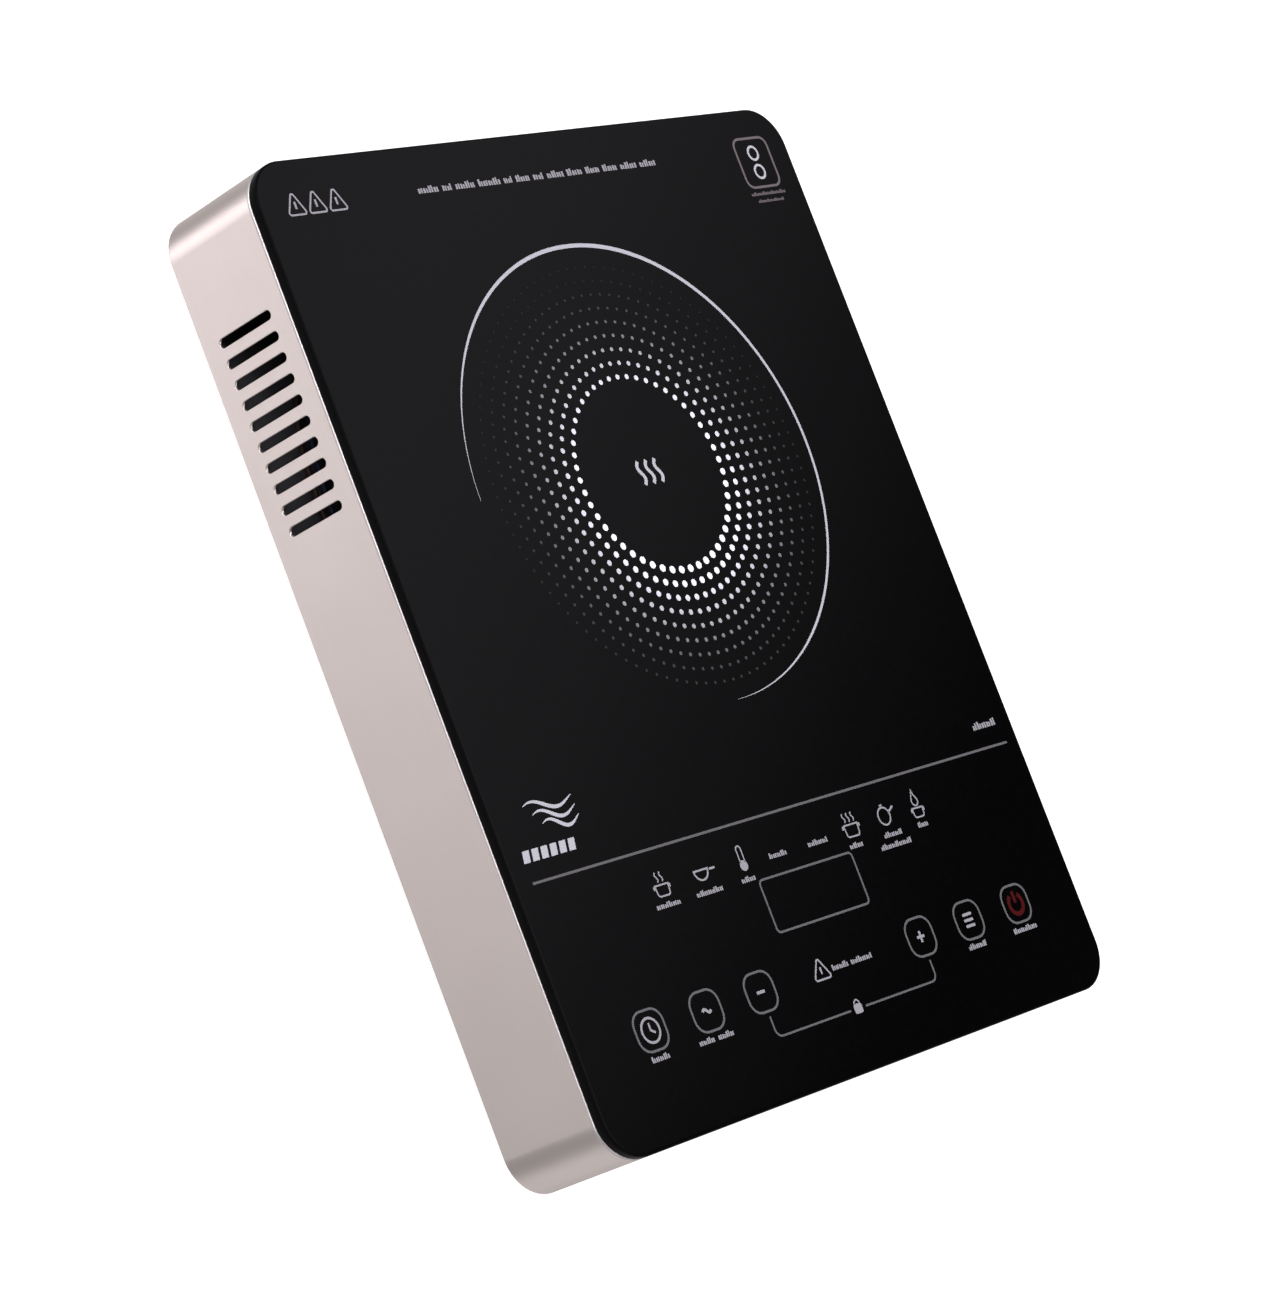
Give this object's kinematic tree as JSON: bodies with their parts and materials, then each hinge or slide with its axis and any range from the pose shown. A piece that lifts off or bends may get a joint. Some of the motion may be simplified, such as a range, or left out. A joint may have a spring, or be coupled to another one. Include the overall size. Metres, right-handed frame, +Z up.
{
  "type": "hot plate burner",
  "caption": "Free-standing infrared cooktop: black glass-ceramic plate with a printed cooking zone and touch panel on a slotted metal band, fan-cooled inside.",
  "frame": {"origin": "on the table, under the middle of the appliance", "axes": "+X to the right, +Y from the touch panel to the back, +Z up"},
  "size_m": [0.28, 0.36, 0.06],
  "materials": {
    "glass_ceramic": "polished black glass-ceramic with a silk-screened print",
    "band_metal": "fine satin, champagne tint",
    "silicone": "cured bead",
    "black_plastic": "fine moulded texture",
    "base_plastic": "spark-eroded moulded texture",
    "grey_plastic": "moulded",
    "fan_plastic": "moulded, glass filled",
    "rubber": "moulded",
    "galvanised_steel": "galvanised sheet",
    "bright_steel": "zinc plated",
    "spring_steel": "drawn wire",
    "transformer_steel": "stacked laminations",
    "ribbon_alloy": "oxidised",
    "aluminium": "extruded",
    "brass": "sintered",
    "copper": "enamelled winding",
    "insulation": "pressed fibre",
    "quartz": "fused tube",
    "ceramic": "glazed steatite",
    "circuit_board": "solder mask",
    "relay_case": "moulded",
    "capacitor_case": "moulded",
    "dark_resin": "moulded",
    "terminal_plastic": "moulded",
    "display_case": "tinted window",
    "wire_brown": "extruded insulation",
    "wire_blue": "extruded insulation",
    "wire_white": "braided glass-fibre sleeve",
    "wire_red": "extruded insulation",
    "wire_grey": "extruded flat cable"
  },
  "bodies": {
    "housing": {"base_pan": "base_plastic", "base_screw_1": "bright_steel", "base_screw_2": "bright_steel", "base_screw_3": "bright_steel", "base_screw_4": "bright_steel", "base_screw_5": "bright_steel", "base_screw_6": "bright_steel", "bracket_screw_left": "bright_steel", "bracket_screw_right": "bright_steel", "buzzer": "dark_resin", "control_board": "circuit_board", "control_board_holder": "grey_plastic", "cord_gland": "rubber", "display_module": "display_case", "element_bracket": "galvanised_steel", "element_dish": "galvanised_steel", "element_insulation_disc": "insulation", "element_insulation_ring": "insulation", "element_lead": "wire_white", "element_spring_left": "spring_steel", "element_spring_right": "spring_steel", "element_terminal_block": "ceramic", "fan_bearing": "brass", "fan_frame": "black_plastic", "fan_lead": "wire_red", "fan_screw_back": "bright_steel", "fan_screw_front": "bright_steel", "fan_stator": "copper", "filter_capacitor": "capacitor_case", "foot_back_left": "rubber", "foot_back_right": "rubber", "foot_front_left": "rubber", "foot_front_right": "rubber", "fuse": "bright_steel", "glass_seal": "silicone", "glass_sensor": "ceramic", "glass_top_plate": "glass_ceramic", "heating_ribbon": "ribbon_alloy", "heatsink": "aluminium", "limiter_lead": "wire_white", "limiter_rod": "quartz", "limiter_switch": "ceramic", "mains_lead_live": "wire_brown", "mains_lead_neutral": "wire_blue", "mains_terminal_block": "terminal_plastic", "power_board": "circuit_board", "relay": "relay_case", "ribbon_cable": "wire_grey", "side_band": "band_metal", "top_frame": "black_plastic", "touch_spring_1": "spring_steel", "touch_spring_2": "spring_steel", "touch_spring_3": "spring_steel", "touch_spring_4": "spring_steel", "touch_spring_5": "spring_steel", "touch_spring_6": "spring_steel", "transformer": "transformer_steel", "triac": "dark_resin"},
    "fan_rotor": {"fan_impeller": "fan_plastic", "fan_shaft": "bright_steel"}
  },
  "joints": [
    {"name": "fan_spin", "type": "hinge", "parent": "housing", "child": "fan_rotor", "pos_m": [0.076, -0.104, 0.021], "axis": [0, 0, 1], "continuous": true}
  ]
}
